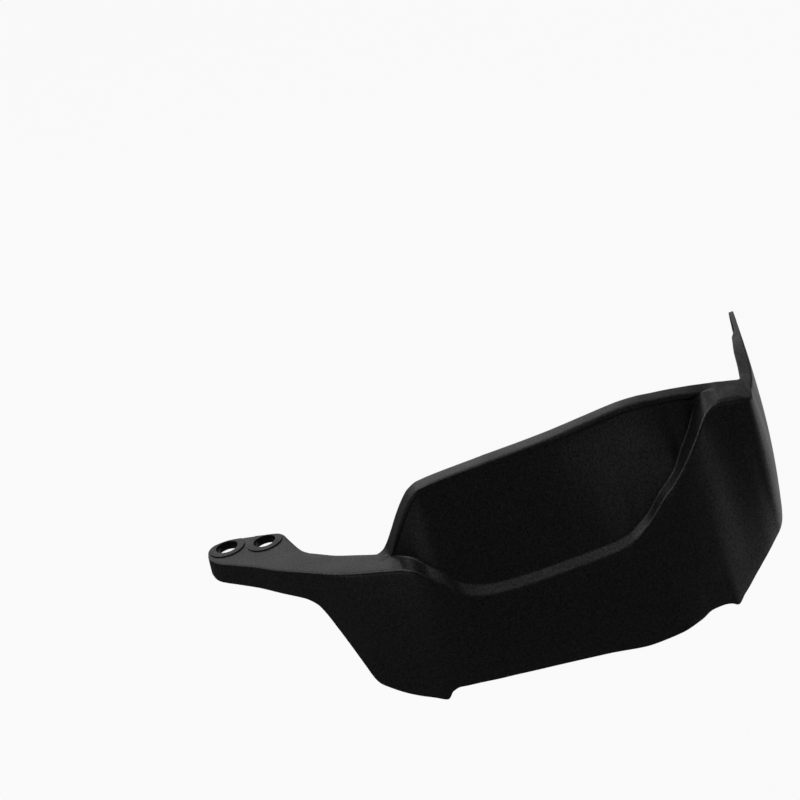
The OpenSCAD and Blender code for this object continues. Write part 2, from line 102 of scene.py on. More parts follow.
def mix(a, b, q):
    return a + (b - a) * q


def unit(v):
    v = np.asarray(v, float)
    return v / np.maximum(np.linalg.norm(v, axis=-1, keepdims=True), 1e-9)


def bend(a, b, c, q):
    return (1 - q) ** 2 * a + 2 * q * (1 - q) * b + q * q * c


def toward(p, other, reach, share):
    """The point that lies reach from p toward another one, at most that share of the way."""
    length = np.linalg.norm(other - p)
    return p + unit(other - p) * min(reach, share * length)


# Stages count the guard's zones: 0 arm's tip, 1 neck, 2 and 3 the recess's ends, 4 corner.
FRONT_END, RIM_TOP_AT, HEAD_TO = 3.7, 2.35, 0.9
ZONES = ((0, ARM_END), (1, NECK[0]), (2, PANEL_X), (3, PANEL_X + PANEL_W), (4, CORNER_X))


def at(stage):
    return float(np.interp(stage, *zip(*ZONES)))


def line(table, s):
    """A line given by stages, smooth along the guard's length."""
    return curve([(at(p), v) for p, v in table], at(s))


HEAD_EDGE = [
    (HOLE_IN[0] - HEAD_END, HOLE_IN[1] - 3),
    (HOLE_IN[0] - HEAD_END + 0.8, HOLE_IN[1] + 2.2),
    (HOLE_IN[0] - HEAD_END + 2.6, HOLE_IN[1] + HEAD_BACK - 2),
    (HOLE_IN[0] - 5, HOLE_IN[1] + HEAD_BACK - 0.6),
    (HOLE_IN[0], HOLE_IN[1] + HEAD_BACK),
    (0, HEAD_BACK + 1),
    (HOLE_OUT[0], HOLE_OUT[1] + HEAD_BACK + 0.3),
    (HOLE_OUT[0] + 8.4, HOLE_OUT[1] + 3.3),
    (HOLE_OUT[0] + 10, HOLE_OUT[1] + 0.4),
    (HOLE_OUT[0] + 11.6, HOLE_OUT[1] - 6.6),
    (HOLE_OUT[0] + 16, HOLE_OUT[1] - 22.5),
    NECK,
]
RIDGE_PLAN = [
    (0, 0.022), (0.016, 0.05), (0.047, 0.08), (0.1, 0.117), (0.21, 0.172), (0.42, 0.277),
    (0.62, 0.393), (0.83, 0.493), (1.3, 0.679), (1.6, 0.754), (1.84, 0.805), (2, 0.844),
    (2.05, 0.904), (2.1, 0.943), (2.2, 0.99), (2.37, 1), (2.6, 0.978), (2.72, 0.941),
    (2.8, 0.898), (2.9, 0.823), (2.95, 0.7665), (2.98, 0.7225), (3.01, 0.7005), (3.17, 0.6885),
    (3.37, 0.679), (3.5, 0.6745), (3.72, 0.6655),
]
RIDGE_LINE = [
    (2.02, 0), (2.05, -0.06), (2.09, -0.3), (2.13, -0.56), (2.17, -0.81), (2.22, -0.93),
    (2.3, -0.99), (2.42, -1), (2.62, -1), (2.67, -0.95), (2.72, -0.77), (2.8, -0.34),
    (2.83, -0.22), (2.873, 0.013), (2.892, 0.15), (2.93, 0.425), (2.95, 0.584), (2.97, 0.735),
    (2.985, 0.836), (3, 0.907), (3.05, 0.93), (3.13, 0.955), (3.23, 0.985), (3.32, 1), (4, 1),
]
LOWER_LINE = [
    (0, -0.03), (0.02, -0.008), (0.05, 0.004), (0.42, 0.034), (0.8, 0.078), (0.91, 0.128),
    (0.96, 0.19), (1.03, 0.304), (1.12, 0.44), (1.225, 0.61), (1.28, 0.7), (1.33, 0.742),
    (1.43, 0.777), (1.6, 0.825), (1.8, 0.865), (1.95, 0.885), (2.021, 0.905), (2.045, 0.843),
    (2.07, 0.819), (2.12, 0.819), (2.3, 0.857), (2.5, 0.92), (2.64, 0.98), (2.72, 0.986),
    (2.79, 0.965), (2.825, 0.941), (2.86, 0.951), (2.885, 0.975), (2.905, 1.008), (2.93, 0.969),
    (2.95, 0.942), (3, 0.868), (3.27, 0.832), (3.485, 0.794), (3.72, 0.747),
]
TUCK_LINE = [
    (0, -0.2), (0.8, -0.1), (1, 0.2), (1.3, 0), (1.9, 0), (2.05, 0.2), (2.25, 0.85), (2.45, 1),
    (2.7, 1), (2.88, 1.2), (2.93, 1.15), (2.95, 1.04), (2.97, 0.8), (3, 0.6), (3.1, 0.6),
    (3.27, 0.68), (3.485, 1.06), (3.72, 1.49),
]
LEDGE_RUN = [
    (1, 1.9), (1.6, 1.7), (1.9, 2.4), (2, 2.9), (2.025, 2.6), (2.05, 2.2), (2.08, 1.6),
    (2.125, 1.16), (2.25, 1), (2.6, 1), (2.72, 1.08), (2.8, 1.26), (2.85, 1.4), (2.89, 2.06),
    (2.93, 2.44), (2.95, 2.73), (2.97, 2.96), (2.985, 3.03), (3, 3.05), (3.05, 3), (3.27, 2.2),
]
LEDGE_RISE = [
    (1.9, 0), (2, 0.18), (2.025, 0.34), (2.05, 0.6), (2.08, 0.95), (2.125, 1.36), (2.17, 1.28),
    (2.25, 1), (2.6, 0.86), (2.7, 0.8), (2.76, 0.52), (2.85, 0.55), (2.89, 0.68), (2.97, 0.69),
    (2.985, 0.65), (3, 0.6), (3.05, 0.5), (3.13, 0.34), (3.23, 0.13), (3.32, 0),
]
REAR_LINE = [
    (1.15, 0.384), (1.31, 0.447), (1.58, 0.523), (1.84, 0.591), (1.92, 0.604), (2, 0.62),
    (2.025, 0.646), (2.08, 0.703), (2.14, 0.75), (2.2, 0.758), (2.3, 0.758), (2.42, 0.748),
    (2.53, 0.728), (2.65, 0.674), (2.75, 0.614), (2.86, 0.547), (2.92, 0.506), (2.98, 0.471),
    (3.1, 0.455), (3.25, 0.447), (3.5, 0.434), (3.77, 0.422),
]
RIM_RISE = [
    (1.84, 0), (1.92, 0.045), (2, 0.14), (2.025, 0.32), (2.052, 0.527), (2.081, 0.722),
    (2.11, 0.873), (2.14, 0.949), (2.2, 0.98), (RIM_TOP_AT, 1),
]
RIM_FALL = [
    (RIM_TOP_AT, 1), (2.53, 0.973), (2.65, 0.917), (2.75, 0.831), (2.81, 0.722), (2.86, 0.576),
    (2.892, 0.478), (2.921, 0.382), (2.95, 0.287), (2.98, 0.19), (3.056, 0.098), (3.25, 0.026),
    (3.36, 0.003), (3.5, -0.02), (3.72, -0.03),
]
DIP_LINE = [
    (3.1, 0), (3.27, 0.04), (3.365, 0.1), (3.485, 0.21), (3.7, 0.445), (3.89, 0.73), (4, 1),
]
CROWN_LINE = [(1, 0), (1.5, 0.5), (1.9, 0.92), (2.2, 1), (2.95, 1), (3.35, 0.6), (3.7, 0.3)]
RIM_RUN = [
    (1, 0.9), (1.6, 0.6), (1.9, 0.6), (2, 0.72), (2.025, 0.83), (2.052, 0.94), (2.11, 1),
    (2.5, 1), (2.72, 0.95), (2.95, 0.92), (2.97, 0.83), (2.985, 0.76), (3, 0.72), (3.27, 0.6),
    (3.72, 0.6),
]
RIM_TILT = [
    (1.84, 0), (1.93, 1.4), (2, 4.6), (2.025, 2.6), (2.052, 2), (2.1, 1), (2.14, 0), (2.93, 0),
    (2.95, 0.3), (2.97, 0.8), (2.985, 1.3), (3, 1.3), (3.05, 1.1), (3.13, 0.74), (3.23, 0.27),
    (3.32, 0),
]
SOFT_LINE = [(3.1, 1), (3.5, 2.2), (3.72, 2.6)]
RECESS_LINE = [(2, 0), (2.04, 1), (2.95, 1), (2.99, 0)]
FAN_LINE = [(2.88, 0), (2.95, 0.9), (3, 2), (3.27, 4.6), (3.72, 6.6)]
LIP_LINE = [(0.75, 0), (1.15, 1), (1.7, 1), (1.98, 0)]
WALL_LINE = [(1.7, PLATE_T), (2, WALL)]


HEAD_FOOT, HEAD_RIM = 0.4, 0.36  # places across the arm's head, as shares of its width


def dip(s):
    return SHELF_DIP * line(DIP_LINE, s)


def rear_y(s):
    if s <= 1:
        return curve(HEAD_EDGE, at(s))
    return line([(1, NECK[1])] + [(p, -RIDGE_Y * v) for p, v in REAR_LINE], s)


def rim_z(s):
    if s < RIM_TOP_AT:
        return RIM_H * line(RIM_RISE, s)
    return mix(SHELF_H, RIM_H, line(RIM_FALL, s)) - dip(s)


def front(s):
    """Six points across the guard: lower edge, belly, ridge, panel foot, rim front, rim rear."""
    f = line(RIDGE_LINE, s)
    ridge = np.array([
        at(s), -RIDGE_Y * line(RIDGE_PLAN, s), (f * RIDGE_DROP if f < 0 else f * SHELF_H) - dip(s)
    ])
    low = np.array([
        at(s) - line(FAN_LINE, s), ridge[1] + TUCK * line(TUCK_LINE, s),
        -SKIRT_H - (SHELL_DROP - SKIRT_H) * line(LOWER_LINE, s),
    ])
    rear = np.array([at(s), rear_y(s), rim_z(s)])
    width = rear[1] - ridge[1]
    foot_in = HEAD_FOOT * width if s < 1 else LEDGE * line(LEDGE_RUN, s)
    rim_in = HEAD_RIM * width if s < 1 else RIM_W * line(RIM_RUN, s)
    foot = ridge + [0, foot_in, LEDGE * line(LEDGE_RISE, s)]
    rim = rear - [0, rim_in, line(RIM_TILT, s)]
    belly = mix(low, ridge, 0.5) - [0, 2 * CROWN * line(CROWN_LINE, s), 0]
    return np.array([low, belly, ridge, foot, rim, rear])


# ---- outer wall and strap ------------------------------------------------------------------
CORNER_H, FOOT_DROP = SHELF_H - SHELF_DIP, SHELL_DROP * 0.7254
WALL_FRONT, FOOT_FRONT, STRAIGHT_FROM = -62.4, -53.2, -25.0
WALL_TOP = [(WALL_FRONT, CORNER_H), (-42, CORNER_H + 2), (-8, BOLT_Z + END_R - 0.6),
            (BOLT_Y, BOLT_Z + END_R)]
WALL_LOW = [
    (FOOT_FRONT, -FOOT_DROP), (-40, -SHELL_DROP * 0.57), (-20, -SHELL_DROP * 0.33),
    (-4, -SHELL_DROP * 0.135), (BOLT_Y - PAD_REACH + 1, BOLT_Z - END_R - 2.2),
    (BOLT_Y, BOLT_Z - END_R),
]
WALL_PLAN = [(WALL_FRONT, 4.6), (-53.2, 3.3), (-47, 1.7), (-37, 0.2), (-24, -0.5), (-8, -0.7)]
WALL_BELLY = [(WALL_FRONT, 1), (-45, 0.8), (-5, 0)]
WALL_FROM, STRAP_FROM, SHELF_BACK, SHOULDER = -54.0, -37.0, -41.3, 7.0
STRAP_FOOT, STRAP_RIM = 0.35, 0.7  # places across the strap's top, as shares of its width
STRAP_LINE = [
    (STRAP_FROM, STRAP_W), (-18, STRAP_W * 0.95), (BOLT_Y - PAD_REACH - SHOULDER, STRAP_END_W),
]


def round_end(y):
    return math.sqrt(max(END_R ** 2 - max(y - BOLT_Y, 0) ** 2, 0.01))


def top_z(y):
    return curve(WALL_TOP, y) if y < BOLT_Y else BOLT_Z + round_end(y)


def low_z(y):
    return curve(WALL_LOW, y) if y < BOLT_Y else BOLT_Z - round_end(y)


def wall_point(y, z):
    return np.array([OUTER_X - curve(WALL_PLAN, y) - math.tan(LEAN) * (top_z(y) - z), y, z])


def is_pad(y):
    return y > BOLT_Y - PAD_REACH - 0.01


def side(y):
    """The same six points across the outer wall and the strap."""
    lag = max(0, (STRAIGHT_FROM - y) / (STRAIGHT_FROM - WALL_FRONT))
    low_y = y + (FOOT_FRONT - WALL_FRONT) * lag
    ridge = wall_point(y, top_z(y))
    low = wall_point(low_y, low_z(low_y))
    root = wall_point(max(y, STRAP_FROM), top_z(max(y, STRAP_FROM)))
    turn = max(0, (STRAP_FROM - y) / (STRAP_FROM - WALL_FRONT))
    back_y = root[1] + (SHELF_BACK - STRAP_FROM) * turn
    width = PAD_T if is_pad(y) else curve(STRAP_LINE, y)
    rear = np.array([root[0] - width, back_y, root[2]])
    belly = mix(low, ridge, 0.5) + [2 * CROWN * curve(WALL_BELLY, y), 0, 0]
    foot, rim = mix(ridge, rear, STRAP_FOOT), mix(ridge, rear, STRAP_RIM)
    return np.array([low, belly, ridge, foot, rim, rear])


CORNER = np.array([
    (OUTER_X - 10.5, FOOT_FRONT, -FOOT_DROP),
    (OUTER_X - 4.6, -60.3, -20),
    (OUTER_X - 4.1, WALL_FRONT, CORNER_H),
    (OUTER_X - 4.9, -55.5, CORNER_H + 0.7),
    (OUTER_X - 5.9, -48.5, CORNER_H + 1.6),
    (OUTER_X - 7.7, SHELF_BACK, CORNER_H + 2.6),
])
CORNER_SET, CORNER_SHARE = (5, 14, 5, 3.5, 2.5, 2), 0.8


def corner(q):
    """The six points on the way round the outer corner, each line rounded by its own length."""
    before, after = front(FRONT_END), side(WALL_FROM)
    points = []
    for p, a, b, reach in zip(CORNER, before, after, CORNER_SET):
        start, end = toward(p, a, reach, CORNER_SHARE), toward(p, b, reach, CORNER_SHARE)
        points.append(bend(start, p, end, q))
    return np.array(points)


# ---- the shell's mesh ----------------------------------------------------------------------
FINE = 4
BELLY_STEPS, PANEL_STEPS = 14, 8
LIP_FACE, LIP_TOP = 3.2, 2.2
HOLLOW_AT, HOLLOW_STEP = PLATE_T / (NECK[0] - ARM_END), 0.002
TIP_AT, NOTCH_AT = 2.021, 2.905
PAD_Y = BOLT_Y - PAD_REACH
PAD_STEP = 0.012  # spacing of the unused rows behind the pad, as a share of its height
EDGE_SHARE = 0.45  # the most of a side that one rounded corner takes
END_LEAN, LEAN_TO = 0.1, 0.16  # how far the arm's tip leans, and up to which stage
CALM_FROM, CALM_IN, CALM_OUT, CALM_TO = 208, 8, 6, 254  # from one end of x to the other
CALM_FRONT, CALM_WINDOW, CALM_SPREAD, LEAST_GAP = -50, 14, 6, 0.05


def spread(*stops):
    """Places from each (place, steps) stop to the next, the first one included."""
    places = [stops[0][0]]
    for (a, _), (b, steps) in zip(stops, stops[1:]):
        places += [mix(a, b, k / steps) for k in range(1, steps + 1)]
    return places


FRONT_STAGES = spread(
    (0, 0), (0.006, 2), (0.016, 2), (0.03, 2), (0.05, 2),
    (HOLLOW_AT - HOLLOW_STEP, 2), (HOLLOW_AT, 1), (1, 14 * FINE), (2, 16 * FINE),
    (TIP_AT, 2 * FINE), (2.25, 16 * FINE), (2.65, 9 * FINE), (NOTCH_AT, 14 * FINE),
    (3, 7 * FINE), (3.3, 5 * FINE), (FRONT_END, 3 * FINE),
)
WALL_STAGES = (
    spread((WALL_FROM, 0), (PAD_Y - SHOULDER, 8 * FINE))
    + [PAD_Y, mix(PAD_Y, BOLT_Y, 0.5)]
    + [BOLT_Y + END_R * math.sin(math.radians(a)) for a in (*range(0, 80, 5), 79, 83)]
)
CORNER_STEPS = 8 * FINE


def stations():
    """The six lines' points at every station, with what changes along the guard."""
    rows = [(front(s), s, None) for s in FRONT_STAGES]
    rows += [(corner(k / CORNER_STEPS), 4, None) for k in range(CORNER_STEPS + 1)]
    rows += [(side(y), 4, y) for y in WALL_STAGES]
    return rows


def neighbours(places):
    """What lies a few stations further on and as many back, for every station."""
    index, last = np.arange(len(places)), len(places) - 1
    return places[np.minimum(index + FINE, last)], places[np.maximum(index - FINE, 0)]


def outer_rows(net):
    """Outer rows at every station, from the lower edge over ledge and panel to the rim."""
    ahead, behind = neighbours(np.array([p[4] for p, _, _ in net]))
    rows = []
    for i, (p, stage, _) in enumerate(net):
        height = np.linalg.norm(p[4] - p[3])
        up = unit(p[4] - p[3])
        out = unit(np.cross(unit(ahead[i] - behind[i]), up))
        recess = line(RECESS_LINE, stage) if i < len(FRONT_STAGES) else 0
        inset = out * RIM_PROUD * recess
        face = min(LIP_FACE, height * 0.5)
        row = [bend(*p[:3], k / BELLY_STEPS) for k in range(BELLY_STEPS + 1)]
        row += [mix(p[3] - inset, p[4] - inset - up * face, k / PANEL_STEPS)
                for k in range(PANEL_STEPS + 1)]
        row += [p[4] - up * face * LIP_TOP / LIP_FACE, p[4], p[5]]
        rows.append(row)
    return np.array(rows)


RIDGE_ROW = BELLY_STEPS
FOOT_ROW = RIDGE_ROW + 1
PANEL_ROW = FOOT_ROW + PANEL_STEPS
RIM_ROW = PANEL_ROW + 2
REAR_ROW = RIM_ROW + 1


def calm(rows):
    """Evens out the bow of the shell below the ridge where it nears the corner."""
    result = rows.copy()
    for j in range(RIDGE_ROW):
        x, y = rows[:, j, 0], rows[:, j, 1]
        fore = y < CALM_FRONT
        for i in np.flatnonzero((x > CALM_FROM) & (x < CALM_TO) & fore):
            near = (abs(x - x[i]) < CALM_WINDOW) & fore
            away = x[near] - x[i]
            gap = np.clip(np.gradient(x)[near], LEAST_GAP, None)
            pull = np.exp(-0.5 * (away / CALM_SPREAD) ** 2) * gap
            fit = np.polyfit(away, y[near], 2, w=np.sqrt(pull))
            share = min(1, (x[i] - CALM_FROM) / CALM_IN, (CALM_TO - x[i]) / CALM_OUT)
            result[i, j, 1] = mix(y[i], fit[2], share)
    return result


def strip_normals(rows):
    """Outward direction of the strip above each row, at every station."""
    ahead, behind = neighbours(rows)
    across = np.diff(rows, axis=1)
    across = np.concatenate([across, across[:, -1:]], axis=1)
    return unit(np.cross(ahead - behind, across))


def round_point(p, before, after, reach, count):
    """The corner p of a section, rounded from reach before it to reach after it."""
    if count < 2:
        return [p]
    a, b = toward(p, before, reach, EDGE_SHARE), toward(p, after, reach, EDGE_SHARE)
    return [bend(a, p, b, k / (count - 1)) for k in range(count)]


def softness(i, stage):
    """How many times the ridge's radius a station has."""
    beyond = i - len(FRONT_STAGES)
    if beyond < 0:
        return line(SOFT_LINE, stage)
    return mix(SOFT_LINE[-1][1], 1, min(1, beyond / CORNER_STEPS))


INNER_ROWS = [RIM_ROW] + list(range(PANEL_ROW, -1, -1))
UPPER_ROWS = [j for j in INNER_ROWS if j >= RIDGE_ROW]
PLAIN = (0, 1)
# how far each row's edge is rounded, and by how many points
OUTER_SET = {
    0: (EDGE_R, 6), RIDGE_ROW: (RIDGE_R, 9), FOOT_ROW: (FOOT_R, 7), RIM_ROW - 1: (0.5, 4),
    PANEL_ROW: (0.7, 4), RIM_ROW: (RIM_R, 8), REAR_ROW: (EDGE_R, 6),
}
ROUNDING = (
    [OUTER_SET.get(j, PLAIN) for j in range(REAR_ROW + 1)]
    + [(EDGE_R, 5), (0.5, 3), (0.8, 3), (1, 5)] + [PLAIN] * PANEL_STEPS
    + [(FOOT_R, 5), (0.8, 5)] + [PLAIN] * (BELLY_STEPS - 1) + [(EDGE_R, 6)]
)


def solid_side(foot, low):
    """The points of the arm's solid tip, straight down from its rear edge."""
    count = len(INNER_ROWS) + 2
    return [mix(foot, low, k / (count + 0.5)) for k in range(1, count + 1)]


def hollow_side(row, normal, thick, foot, under, lip_t, pad):
    """The side toward the hand, from the rear lip's foot back to the lower edge."""
    def inward(j):
        a, b = normal[max(j - 1, 0)], normal[j]
        return row[j] - thick * (a + b) / (1 + a @ b)

    if pad:
        points = [mix(foot, inward(0), PAD_STEP * k) for k in range(1, len(UPPER_ROWS) + 3)]
    else:
        ahead = unit(row[RIM_ROW] - row[REAR_ROW])
        points = [foot + ahead * lip_t, under + ahead * (lip_t + LIP_BREAK)]
        points += [inward(j) for j in UPPER_ROWS]
    return points + [inward(j) for j in range(RIDGE_ROW - 1, -1, -1)]


def sections():
    """The closed section at every station, with its corners rounded."""
    net = stations()
    rows = calm(outer_rows(net))
    result = []
    for i, (row, normal, (_, stage, y)) in enumerate(zip(rows, strip_normals(rows), net)):
        on_front = i < len(FRONT_STAGES)
        pad = y is not None and is_pad(y)
        thick = PAD_T if pad else curve(WALL_LINE, stage)
        lip = (LIP_H - PLATE_T) * line(LIP_LINE, stage) if on_front else 0
        under = row[REAR_ROW] - normal[REAR_ROW - 1] * thick
        foot = under - [0, 0, lip]
        if on_front and stage < HOLLOW_AT - HOLLOW_STEP / 2:
            inner = solid_side(foot, row[0])
        else:
            lip_t = LIP_T if on_front else STRAP_LIP_T
            inner = hollow_side(row, normal, thick, foot, under, lip_t, pad)
        points = list(row) + [foot] + inner
        section = []
        for j, (reach, steps) in enumerate(ROUNDING):
            if j == RIDGE_ROW:
                reach *= softness(i, stage)
            after = points[(j + 1) % len(points)]
            section += round_point(points[j], points[j - 1], after, reach, steps)
        section = np.array(section)
        if on_front:
            lag = max(0, 1 - stage / LEAN_TO)
            section[:, 0] += np.where(section[:, 2] < 0, END_LEAN * section[:, 2] * lag, 0)
        result.append(section)
    return np.array(result)


def mesh_object(name, verts, faces):
    mesh = bpy.data.meshes.new(name)
    mesh.from_pydata([tuple(v) for v in np.asarray(verts) * MM], [], faces)
    obj = bpy.data.objects.new(name, mesh)
    bpy.context.scene.collection.objects.link(obj)
    return obj


def loft(name, rings):
    """A closed skin over rings of points, with a flat face at each end."""
    count, n = rings.shape[:2]
    faces = [
        (i * n + j, i * n + (j + 1) % n, (i + 1) * n + (j + 1) % n, (i + 1) * n + j)
        for i in range(count - 1) for j in range(n)
    ]
    faces.append(tuple(range(n - 1, -1, -1)))
    faces.append(tuple((count - 1) * n + j for j in range(n)))
    return mesh_object(name, rings.reshape(-1, 3), faces)


def lathe(name, profile, place):
    """A closed turned solid: profile is (radius, height) points from bottom to top."""
    turn = np.linspace(0, 2 * math.pi, TURN_STEPS, endpoint=False)
    rings = np.array([[(r * math.cos(a), r * math.sin(a), z) for a in turn] for r, z in profile])
    obj = loft(name, rings)
    obj.data.transform(Matrix.Translation(place.translation * MM) @ place.to_3x3().to_4x4())
    return obj


def boolean(obj, other, operation):
    """Joins another solid to the object or cuts it away, and takes that other one out."""
    modifier = obj.modifiers.new(operation, "BOOLEAN")
    modifier.operation, modifier.object, modifier.solver = operation, other, "MANIFOLD"
    bpy.context.view_layer.update()
    mesh = bpy.data.meshes.new_from_object(obj.evaluated_get(bpy.context.evaluated_depsgraph_get()))
    obj.modifiers.clear()
    obj.data = mesh
    bpy.data.objects.remove(other)


def head_outline():
    """Rear edge of the arm's head, set in by the radius of its edge, and closed in front."""
    places = np.linspace(0, HEAD_TO, OUTLINE_STEPS)
    edge = np.array([(at(s), rear_y(s)) for s in places])
    run = unit(np.gradient(edge, axis=0))
    inset = edge + EDGE_R * np.stack([run[:, 1], -run[:, 0]], axis=1)
    front_side = [(at(HEAD_TO), -NECK_DROP), (ARM_END + EDGE_R, -NECK_DROP)]
    return np.vstack([inset, front_side])


def reach_inside(outline, centre, angle, limit):
    """How far a ray from centre runs before it meets the outline, up to limit."""
    d = np.array([math.cos(angle), math.sin(angle)])
    best = limit
    for a, b in zip(outline, np.roll(outline, -1, axis=0)):
        e = b - a
        det = d[0] * e[1] - d[1] * e[0]
        if abs(det) < 1e-9:
            continue
        w = a - centre
        t = (w[0] * e[1] - w[1] * e[0]) / det
        q = (w[0] * d[1] - w[1] * d[0]) / det
        if t > 0 and -1e-6 <= q <= 1 + 1e-6:
            best = min(best, t)
    return best


def raised_face(name, centre):
    """A low raised face round a bolt hole, cut off along the arm's rear edge."""
    outline = head_outline()
    turn = np.linspace(0, 2 * math.pi, FACE_STEPS, endpoint=False)
    reach = np.array([reach_inside(outline, centre, a, FACE_D / 2) for a in turn])

    def ring(radii, z):
        return [(centre[0] + r * math.cos(a), centre[1] + r * math.sin(a), z)
                for a, r in zip(turn, radii)]

    rings = [ring(reach - e, z) for e, z in FACE_EDGE]
    rings.append(ring(np.full(len(turn), HOLE_D / 2 + HOLE_RIM), FACE_H))
    return loft(name, np.array(rings))


def rib(name, stage):
    """A cross rib in the arm's channel, from the skirt to the rear lip."""
    fore, aft = front(stage - RIB_SKEW)[2][:2], front(stage)[5][:2]
    run = unit(aft - fore)
    half = RIB_T / 2 * np.array([-run[1], run[0]])
    a, b = fore + run * PLATE_T / 2, aft - run * RIB_ROOT
    rings = []
    for z, side_in in ((-RIB_H, RIB_BEVEL), (-RIB_H + RIB_BEVEL, 0), (-PLATE_T + RIB_ROOT, 0)):
        h = half * (1 - side_in / (RIB_T / 2))
        rings.append([(*p, z) for p in (a - h, b - h, b + h, a + h)])
    return loft(name, np.array(rings))


def bore(body, name, radius, bevel, under, over, place, top=()):
    """Cuts a hole with bevelled edges; under and over are heights, outside first and last."""
    wide = radius + bevel
    profile = [(wide, under[0]), (wide, under[1]), (radius, under[1] + bevel),
               (radius, over[0] - bevel), *top, (wide, over[0]), (wide, over[1])]
    boolean(body, lathe(name, profile, place), "DIFFERENCE")


def guard():
    """The whole moulding: shell, ribs, raised faces and its three holes."""
    body = loft("guard", sections()[:, ::-1])
    for k, stage in enumerate(RIB_STAGES):
        boolean(body, rib(f"rib_{k}", stage), "UNION")
    for name, centre in (("face_in", HOLE_IN), ("face_out", HOLE_OUT)):
        boolean(body, raised_face(name, centre), "UNION")
    for name, centre in (("hole_in", HOLE_IN), ("hole_out", HOLE_OUT)):
        bore(body, name, HOLE_D / 2, HOLE_BEVEL, (-PLATE_T - 3, -PLATE_T), (FACE_H, FACE_H + 2),
             Matrix.Translation((*centre, 0)),
             top=[(HOLE_D / 2 + HOLE_BREAK, FACE_H - HOLE_BREAK)])
    middle = wall_point(BOLT_Y, BOLT_Z) - np.array([PAD_T / 2, 0, 0])
    turned = Matrix.Rotation(math.pi / 2 + LEAN, 4, "Y")
    bore(body, "bar_end", BOLT_D / 2, PAD_BEVEL, (-4, -PAD_T / 2), (PAD_T / 2, 4),
         Matrix.Translation(Vector(middle)) @ turned)
    body.data.shade_smooth()
    body.data.set_sharp_from_angle(angle=SHARP_ANGLE)
    return body


# ---- shader helpers ------------------------------------------------------------------------
def fade(tree, value, start, end, low, high, shape="SMOOTHSTEP"):
    """Step of a value, soft or even, from low at start to high at end."""
    n = tree.nodes.new("ShaderNodeMapRange")
    n.interpolation_type = shape
    n.inputs["From Min"].default_value = start
    n.inputs["From Max"].default_value = end
    n.inputs["To Min"].default_value = low
    n.inputs["To Max"].default_value = high
    tree.links.new(value, n.inputs["Value"])
    return n.outputs["Result"]


def combine(tree, operation, *values):
    """A sum or product of outputs and plain numbers."""
    n = tree.nodes.new("ShaderNodeMath")
    n.operation = operation
    for socket, value in zip(n.inputs, values):
        if isinstance(value, float):
            socket.default_value = value
        else:
            tree.links.new(value, socket)
    return n.outputs["Value"]


def glow(tree, way, fades, rest):
    """The product of soft steps along X, Y and Z, with the rest added everywhere."""
    value = None
    for axis, *step in fades:
        soft = fade(tree, way[axis], *step)
        value = soft if value is None else combine(tree, "MULTIPLY", value, soft)
    return combine(tree, "ADD", value, rest)


def split(tree, kind, output):
    """X, Y and Z of a place or direction."""
    source = tree.nodes.new(kind)
    parts = tree.nodes.new("ShaderNodeSeparateXYZ")
    tree.links.new(source.outputs[output], parts.inputs["Vector"])
    return parts.outputs


def blend(tree, share, first, second):
    """A mix of two shaders by a share of the second."""
    n = tree.nodes.new("ShaderNodeMixShader")
    for socket, value in zip(n.inputs, (share, first, second)):
        tree.links.new(value, socket)
    return n.outputs["Shader"]


# ---- material ------------------------------------------------------------------------------
MOTTLE, GRAIN = (60, 3, 0.5), (950, 3, 0.6)
DARK, PALE = (0.0030, 0.0030, 0.0031, 1), (0.0090, 0.0090, 0.0094, 1)
SPECULAR, ROUGHNESS = (0.25, 0.75), (0.34, 0.41)
BUMP_STRENGTH, BUMP_DISTANCE = 0.4, 0.0001
MIX_SHARE, MIX_A, MIX_B, MIX_COLOUR = 0, 6, 7, 2


def moulded_plastic(name):
    """Black plastic with a fine moulded grain and a faint mottle in its gloss."""
    material = bpy.data.materials.new(name)
    material.use_nodes = True
    tree = material.node_tree
    nodes, links = tree.nodes, tree.links
    shader = nodes["Principled BSDF"]
    coords = nodes.new("ShaderNodeTexCoord")

    def noise(scale, detail, roughness):
        n = nodes.new("ShaderNodeTexNoise")
        n.inputs["Scale"].default_value = scale
        n.inputs["Detail"].default_value = detail
        n.inputs["Roughness"].default_value = roughness
        links.new(coords.outputs["Object"], n.inputs["Vector"])
        return n.outputs["Fac"]

    def span(value, low, high):
        return fade(tree, value, 0.3, 0.7, low, high, "LINEAR")

    mottle, grain = noise(*MOTTLE), noise(*GRAIN)
    colour = nodes.new("ShaderNodeMix")
    colour.data_type = "RGBA"
    colour.inputs[MIX_A].default_value = DARK
    colour.inputs[MIX_B].default_value = PALE
    links.new(span(grain, 0.0, 1.0), colour.inputs[MIX_SHARE])
    links.new(colour.outputs[MIX_COLOUR], shader.inputs["Base Color"])
    links.new(span(grain, *SPECULAR), shader.inputs["Specular IOR Level"])
    links.new(span(mottle, *ROUGHNESS), shader.inputs["Roughness"])
    bump = nodes.new("ShaderNodeBump")
    bump.inputs["Strength"].default_value = BUMP_STRENGTH
    bump.inputs["Distance"].default_value = BUMP_DISTANCE
    links.new(grain, bump.inputs["Height"])
    links.new(bump.outputs["Normal"], shader.inputs["Normal"])
    return material


# ---- the studio, in metres and watts -------------------------------------------------------
LAMP_TARGET = (0.11, -0.05, -0.01)
LAMPS = (
    ("overhead", (0.42, -0.10, 1.15), (1.1, 1.0), 1.8),
    ("upper_left", (-0.49, 0.19, 1.0), (1.0, 1.0), 5),
    ("left_fill", (-0.9, -0.6, -0.1), (0.4, 0.3), 0.3),
    ("right_fill", (0.88, -1.34, 0.15), (0.35, 0.35), 0.3),
)
FLOOR_Z, FLOOR_REACH = -190, 3000  # these two in millimetres
# the floor's glow to glossy rays is a painted pool of light, seen only as painted reflections on
# the part
CAMERA_GLOW, PAINTED_POOL_REST, ROOM_REST = 0.93, 0.09, 0.07
